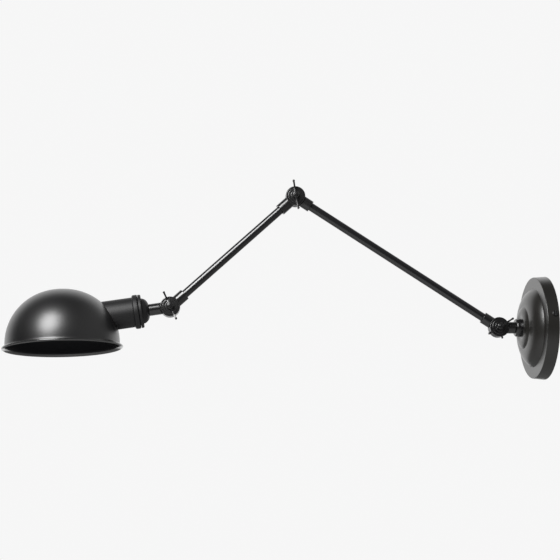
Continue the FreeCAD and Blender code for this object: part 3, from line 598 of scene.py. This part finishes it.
# the fasteners of a joint lie about its axle, with along positive towards the back of the lamp
jointBolt = {
    "back": 9.5, "seat": 6.5, "end": -14.9, "headRadius": 5.6, "shank": 2.5,
    "headRound": 2.2, "endRound": 0.6,
}
coverWasher = {"back": -6.5, "front": -7.7, "radius": 10.2, "hole": 2.56, "round": 0.95}
wingNut = {
    "back": -7.8, "flangeFront": -8.9, "front": -13.8, "flangeRadius": 6.8, "hubRadius": 4.3, "hole": 2.56,
    "flangeRound": 0.75, "hubRound": 1.3,
    "angles": {"wall": 32.2, "elbow": 99.8, "shade": 115.8},
}
wing = {                                # X runs out to its tip, Y along the axle
    "root": (3.6, -11.05, 0.0), "rootSize": (1.2, 4.1, 2.5),
    "stretches": (                      # reach, slide along the axle, growth of width and thickness
        (3.6, 0.15, 0.78, 0.92),
        (5.3, -0.75, 0.86, 0.95),
        (5.3, -0.75, 1.25, 1.05),
    ),
    "edge": 0.35, "tipAt": 18.5, "tipRadius": 1.5, "tipBack": -10.25, "tipFront": -14.4,
    "backRound": 0.6, "frontRound": 0.9,
}
stopPin = {"from": 9.5, "to": 15.5, "radius": 1.2, "round": 0.7, "aside": -3.4, "angle": -75.7}


def makeBolt():
    b = jointBolt
    return turned("bolt", [(b["back"], axisRadius), (b["back"], b["headRadius"]),
                           (b["seat"], b["headRadius"]), (b["seat"], b["shank"]), (b["end"], b["shank"]),
                           (b["end"], axisRadius)],
                  [(b["back"], b["headRadius"], b["headRound"]), (b["end"], b["shank"], b["endRound"])],
                  steps=60)


def makeCoverWasher():
    c = coverWasher
    return turned("coverWasher", [(c["back"], c["hole"]), (c["back"], c["radius"]),
                                  (c["front"], c["radius"]), (c["front"], c["hole"])],
                  [(c["front"], c["radius"], c["round"])], steps=96)


def makeWing():                         # one cast wing: a bar drawn out from the hub to a round tip
    w = wing
    bar = block("wing", w["root"], w["rootSize"])
    bpy.ops.object.mode_set(mode="EDIT")
    selectWhere(bar, "faces", lambda face: face.normal.x > abs(face.normal.y) + abs(face.normal.z))
    for reach, slide, wide, thick in w["stretches"]:
        bpy.ops.mesh.extrude_region_move(TRANSFORM_OT_translate={"value": (reach * mm, slide * mm, 0)})
        bpy.ops.transform.resize(value=(1, wide, thick))
    bpy.ops.mesh.select_all(action="SELECT")
    bpy.ops.mesh.bevel(offset=w["edge"] * mm, segments=2, affect="EDGES")
    bpy.ops.object.mode_set(mode="OBJECT")
    tip = turned("tip", [(w["tipBack"], axisRadius), (w["tipBack"], w["tipRadius"]),
                         (w["tipFront"], w["tipRadius"]), (w["tipFront"], axisRadius)],
                 [(w["tipBack"], w["tipRadius"], w["backRound"]),
                  (w["tipFront"], w["tipRadius"], w["frontRound"])], steps=28)
    setDown(tip, Vector((w["tipAt"] * mm, 0, 0)), alongAxle)
    return combine(bar, tip, "UNION")


def makeWingNut():
    n = wingNut
    nut = turned("wingNut", [(n["back"], n["hole"]), (n["back"], n["flangeRadius"]),
                             (n["flangeFront"], n["flangeRadius"]), (n["flangeFront"], n["hubRadius"]),
                             (n["front"], n["hubRadius"]), (n["front"], n["hole"])],
                 [(n["flangeFront"], n["flangeRadius"], n["flangeRound"]),
                  (n["front"], n["hubRadius"], n["hubRound"])], steps=64)
    setDown(nut, Vector(), alongAxle)
    right = makeWing()
    left = setDown(copied(right, "wing"), Vector(), Matrix.Rotation(math.pi, 3, "Y"))
    combine(nut, right, "UNION")
    return combine(nut, left, "UNION")


def makeFasteners():                    # each is modelled once and copied to the three joints
    bolt, cover, nut = makeBolt(), makeCoverWasher(), makeWingNut()
    joints = (
        ("wall", wallPivot, "lower_arm", "wall_neck"),
        ("elbow", elbowPivot, "lower_arm", "upper_arm"),
        ("shade", shadePivot, "shade_holder", "upper_arm"),
    )
    for label, origin, boltBody, coverBody in joints:
        piece = setDown(copied(bolt, label + "Bolt"), origin, alongAxle)
        fitted(smoothed(piece), boltBody, label + "_joint_bolt", paints["joint"])
        piece = setDown(copied(cover, label + "CoverWasher"), origin, alongAxle)
        fitted(smoothed(piece), coverBody, label + "_joint_cover_washer", paints["joint"])
        piece = setDown(copied(nut, label + "WingNut"), origin, inPlane(wingNut["angles"][label]))
        fitted(smoothed(piece, under=40), label + "_wing_nut", label + "_joint_wing_nut", paints["joint"])
    for modelled in (bolt, cover, nut):
        bpy.data.objects.remove(modelled)


def makeStopPin():
    s = stopPin
    pin = turned("stopPin", [(s["from"], axisRadius), (s["from"], s["radius"]), (s["to"], s["radius"]),
                             (s["to"], axisRadius)], [(s["to"], s["radius"], s["round"])], steps=32)
    setDown(pin, wallPivot + sideways * s["aside"] * mm, inPlane(s["angle"]))
    fitted(smoothed(pin), "wall_neck", "stop_pin", paints["joint"])


makeKnuckles()
makeFasteners()
makeStopPin()
print("joints made")


# arm tubes
armTube = {
    "radius": 5.45, "threadRadius": 5.0, "bore": 4.0, "endRound": 0.2,
    "mouthGap": 0.4,                    # from the tube's end to the bottom of its hole
}


def makeTube(name, node, body, start, length, degrees, startNeck, endNeck):
    t = armTube
    inward = joint["threadDepth"] - t["mouthGap"]       # how far an end is screwed into its knuckle
    bareFrom, bareTo = startNeck, length - endNeck
    tube = turned(name, [(bareFrom - inward, t["bore"]), (bareFrom - inward, t["threadRadius"]),
                         (bareFrom, t["threadRadius"]), (bareFrom, t["radius"]), (bareTo, t["radius"]),
                         (bareTo, t["threadRadius"]), (bareTo + inward, t["threadRadius"]),
                         (bareTo + inward, t["bore"])],
                  [(bareFrom, t["radius"], t["endRound"]), (bareTo, t["radius"], t["endRound"])], steps=96)
    setDown(tube, start, inPlane(degrees))
    fitted(smoothed(tube), body, node, paints["arm"])


makeTube("lowerArmTube", "lower_arm_tube", "lower_arm", wallPivot, *pose["lowerArm"],
         necks["lowerArm"], necks["lowerArm"])
makeTube("upperArmTube", "upper_arm_tube", "upper_arm", elbowPivot, *pose["upperArm"],
         necks["upperArmElbow"], necks["upperArmShade"])
print("arms made")


# dome shade, and the sleeve that is welded into its side
dome = {
    "radius": 71.9, "height": 76.0, "wall": 1.0,
    "crownRadius": 99.0, "crownSteps": 24, "poleRadius": 0.004,
    "shoulderRadius": 68.1, "shoulderSteps": 28,
    "flareRadius": 5.6, "flareAngle": 60.0, "flareTop": 5.3, "flareSteps": 8,
    "beadRadius": 1.25, "beadSteps": 16, "beadClear": 0.15, "beadLap": 0.35,
    "rimBand": 2.6,                     # height of the glossier band over the rolled edge, lighter in tone as a painted highlight
    "steps": 160,
}
holderSleeve = {                        # places along it are from the shade pivot
    "back": 39.9, "front": 88.4, "bore": 18.2, "radius": 19.2, "weldGap": 0.05,
    "entryFrom": 40.0, "entryTo": 100.0,                # the hole in the dome's side
}


def domeOutline(inwards):               # (height, radius) from the crown down to the flare's end
    d = dome
    crown = d["height"] - d["crownRadius"]
    offset, across = d["crownRadius"] - d["shoulderRadius"], d["radius"] - d["shoulderRadius"]
    shoulder = crown + math.sqrt(offset ** 2 - across ** 2)
    meet = math.atan2(shoulder - crown, across)
    points = []
    for i in range(d["crownSteps"]):
        turn = math.pi / 2 - (math.pi / 2 - meet) * i / d["crownSteps"]
        reach = d["crownRadius"] - inwards
        points.append((crown + reach * math.sin(turn), max(reach * math.cos(turn), d["poleRadius"])))
    for i in range(d["shoulderSteps"] + 1):
        turn = meet * (1 - i / d["shoulderSteps"])
        reach = d["shoulderRadius"] - inwards
        points.append((shoulder + reach * math.sin(turn), across + reach * math.cos(turn)))
    for i in range(d["flareSteps"] + 1):
        turn = math.pi + math.radians(d["flareAngle"]) * i / d["flareSteps"]
        reach = d["flareRadius"] + inwards
        points.append((d["flareTop"] + reach * math.sin(turn),
                       d["radius"] + d["flareRadius"] + reach * math.cos(turn)))
    return points


def rolledEdge(outer, inner):           # both walls cut short, and the bead that joins them
    d = dome
    bead = Vector((d["beadRadius"], outer[-1][1]))      # its middle
    clear = d["beadRadius"] + d["beadClear"]
    outer = [point for point in outer if (Vector(point) - bead).length > clear]
    inner = [point for point in inner if (Vector(point) - bead).length > clear]
    first = math.atan2(outer[-1][0] - bead.x, outer[-1][1] - bead.y) - d["beadLap"]
    last = math.atan2(inner[-1][0] - bead.x, inner[-1][1] - bead.y) - 2 * math.pi + d["beadLap"]
    roll = []
    for i in range(d["beadSteps"] + 1):
        turn = first + (last - first) * i / d["beadSteps"]
        roll.append((bead.x + d["beadRadius"] * math.sin(turn), bead.y + d["beadRadius"] * math.cos(turn)))
    return outer, roll, inner


def coatShade(shell):                   # flat coat inside; over the rolled edge a glossier coat whose lighter tone is a painted highlight
    outside, inside, rim = 0, 1, 2
    axis = shadeTurn @ forward
    for face in shell.data.polygons:
        fromRim = face.center - rimCentre
        height = fromRim.dot(axis)
        across = fromRim - axis * height
        facing = face.normal.dot(across) + face.normal.dot(axis) * max(height, 0)
        if height < dome["rimBand"] * mm:
            face.material_index = rim
        else:
            face.material_index = inside if facing < 0 else outside


def makeShade():
    d, s = dome, holderSleeve
    outer, roll, inner = rolledEdge(domeOutline(0), domeOutline(d["wall"]))
    shell = turned("domeShade", outer + roll + inner[::-1], steps=d["steps"], closed=False)
    setDown(shell, rimCentre, shadeTurn)
    entry = rod("entry", s["bore"], polar(shadePivot, s["entryFrom"], pose["holderAngle"]),
                polar(shadePivot, s["entryTo"], pose["holderAngle"]), holderTurn @ forward, steps=96)
    combine(shell, entry, "DIFFERENCE")
    fitted(smoothed(shell, under=40), "shade_holder", "dome_shade",
           paints["shade"], paints["inside"], paints["rim"])
    coatShade(shell)

    # the sleeve ends where it meets the dome, so a solid dome is cut from it
    solid = turned("cut", [(0.0, axisRadius), (0.0, outer[-1][1])]
                   + [(height, radius + s["weldGap"]) for height, radius in outer[::-1]],
                   steps=d["steps"], closed=False)
    setDown(solid, rimCentre, shadeTurn)
    sleeve = turned("holderSleeve", [(s["back"], s["bore"]), (s["back"], s["radius"]),
                                     (s["front"], s["radius"]), (s["front"], s["bore"])], steps=96)
    setDown(sleeve, shadePivot, holderTurn)
    combine(sleeve, solid, "DIFFERENCE")
    fitted(smoothed(sleeve, under=30), "shade_holder", "holder_sleeve", paints["holder"])


makeShade()
print("shade made")


# lamp holder's cap and locking ring, with places along them from the shade pivot
holderCap = {
    "hole": 5.05, "roof": 30.8, "roofRadius": 10.1, "shoulder": 37.8, "insideRadius": 16.9,
    "crownTo": 35.7, "crownRadius": 16.4, "crownSagitta": 2.0, "crownSteps": 12,
    "ridgeFoot": 20.6, "ridgeBack": 36.5, "ridgeFront": 39.4, "ridgeRadius": 21.4,
    "backRound": 0.3, "frontRound": 0.35, "skirtRadius": 18.1, "skirtTo": 44.22,
}
lockingRing = {
    "back": 39.9, "front": 47.1, "hole": 19.25, "radius": 21.9, "backRound": 1.6, "frontRound": 2.4,
}


def makeHolderCap():
    c = holderCap
    neckEnd, crownEdge = (necks["holder"], joint["neckRadius"]), (c["crownTo"], c["crownRadius"])
    outside = [(necks["holder"], c["hole"]), neckEnd]
    outside += arcBetween(neckEnd, crownEdge, c["crownSagitta"], c["crownSteps"])
    outside += [(c["crownTo"], c["ridgeFoot"]), (c["ridgeBack"], c["ridgeRadius"]),
                (c["ridgeFront"], c["ridgeRadius"])]
    inside = [(c["ridgeFront"], c["skirtRadius"]), (c["skirtTo"], c["skirtRadius"]),
              (c["skirtTo"], c["insideRadius"]), (c["shoulder"], c["insideRadius"]),
              (c["roof"], c["roofRadius"]), (c["roof"], c["hole"])]
    cap = turned("holderCap", outside + inside,
                 [(c["ridgeFront"], c["ridgeRadius"], c["frontRound"]),
                  (c["ridgeBack"], c["ridgeRadius"], c["backRound"])], steps=96)
    setDown(cap, shadePivot, holderTurn)
    fitted(smoothed(cap, under=32), "shade_holder", "holder_cap", paints["holder"])


def makeLockingRing():
    r = lockingRing
    ring = turned("lockingRing", [(r["back"], r["hole"]), (r["back"], r["radius"]),
                                  (r["front"], r["radius"]), (r["front"], r["hole"])],
                  [(r["back"], r["radius"], r["backRound"]), (r["front"], r["radius"], r["frontRound"])],
                  steps=96)
    setDown(ring, shadePivot, holderTurn)
    fitted(smoothed(ring), "shade_holder", "locking_ring", paints["holder"])


makeHolderCap()
makeLockingRing()
print("holder made")


# camera
view = {
    "location": (-0.46029, -1.47055, -0.24067),
    "forward": (0.07502, 0.97719, 0.19868),
    "right": (0.99703, -0.07699, 0.00222),
    "lens": 74.417, "sensor": 36.0, "near": 0.02, "far": 60,
}


def makeCamera():
    ahead, right = Vector(view["forward"]).normalized(), Vector(view["right"]).normalized()
    above = right.cross(ahead).normalized()
    lens = bpy.data.cameras.new("camera")
    lens.lens, lens.sensor_width, lens.sensor_fit = view["lens"], view["sensor"], "HORIZONTAL"
    lens.clip_start, lens.clip_end = view["near"], view["far"]
    camera = bpy.data.objects.new("camera", lens)
    bpy.context.scene.collection.objects.link(camera)
    turn = Matrix((right, above, -ahead)).transposed()
    camera.matrix_world = Matrix.Translation(view["location"]) @ turn.to_4x4()
    bpy.context.scene.camera = camera


# light, backdrop and floor, in metres
studio = {
    "pale": 0.925,                      # backdrop as the camera sees it
    "behind": 1.00, "before": 0.05, "right": 0.30,      # what gloss sees on each side of the lamp
    "turnBehind": (0.28, 0.66),         # where they blend, as the direction's Y and X
    "turnRight": (0.1, 0.9),
    "fill": 0.22,
    "keyTowards": (-0.355, -0.768, 0.530), "keyDistance": 2.2, "keySize": (1.28, 1.70), "keyPower": 76,
    "keyAim": 0.04,                     # height above the shade's rim of the point that it shines at
    "floorColour": (0.66, 0.66, 0.66, 1), "floorRough": 0.9, "floorGloss": 0.1, "floorSeen": 0.68,
    "floorAt": -0.35, "floorDrop": 1.3, "floorRadius": 6, "floorSteps": 96,
}
white = (1, 1, 1, 1)


def makeKeyLight():
    light = bpy.data.lights.new("key", "AREA")
    light.shape, light.energy = "ELLIPSE", studio["keyPower"]
    light.size, light.size_y = studio["keySize"]
    lamp = bpy.data.objects.new("key", light)
    bpy.context.scene.collection.objects.link(lamp)
    away = Vector(studio["keyTowards"]).normalized()
    place = rimCentre + up * studio["keyAim"] + away * studio["keyDistance"]
    lamp.matrix_world = Matrix.Translation(place) @ away.to_track_quat("Z", "Y").to_matrix().to_4x4()
    lamp.visible_camera = False


def makeBackdrop():
    world = bpy.data.worlds.new("studio")
    bpy.context.scene.world = world
    world.use_nodes = True
    sky = Wiring(world.node_tree)
    direction = sky.node("TexCoord", output="Generated")
    behind = sky.eased(sky.node("SeparateXYZ", {}, [direction], output="Y"), *studio["turnBehind"])
    right = sky.eased(sky.node("SeparateXYZ", {}, [direction], output="X"), *studio["turnRight"])
    inFront = right * studio["right"] + studio["before"]
    glossLevel = behind * studio["behind"] + (1 - behind) * inFront
    seen = sky.node("LightPath", output="Is Camera Ray")
    gloss = sky.node("LightPath", output="Is Glossy Ray")
    through = sky.node("LightPath", output="Is Transmission Ray")
    other = 1 - (seen + gloss + through)
    level = seen * studio["pale"] + (gloss + through) * glossLevel + other * studio["fill"]
    background = world.node_tree.nodes["Background"]
    background.inputs["Color"].default_value = white
    sky.feed(background.inputs["Strength"], level)


def makeFloor():
    pick()
    middle = (studio["floorAt"], 0, -studio["floorDrop"])
    bpy.ops.mesh.primitive_circle_add(vertices=studio["floorSteps"], radius=studio["floorRadius"],
                                      fill_type="NGON", location=middle)
    floor = bpy.context.object
    floor.name = "floor"
    pale = Paint("pale_floor", {"Base Color": studio["floorColour"], "Roughness": studio["floorRough"],
                                "Specular IOR Level": studio["floorGloss"], "Emission Color": white})
    glow = pale.node("LightPath", output="Is Camera Ray") * studio["floorSeen"]
    pale.feed(pale.shader.inputs["Emission Strength"], glow)
    floor.data.materials.append(pale.material)


makeCamera()
makeKeyLight()
makeBackdrop()
makeFloor()
bpy.context.scene.view_settings.view_transform = "Standard"
print("studio made")

bpy.context.view_layer.update()
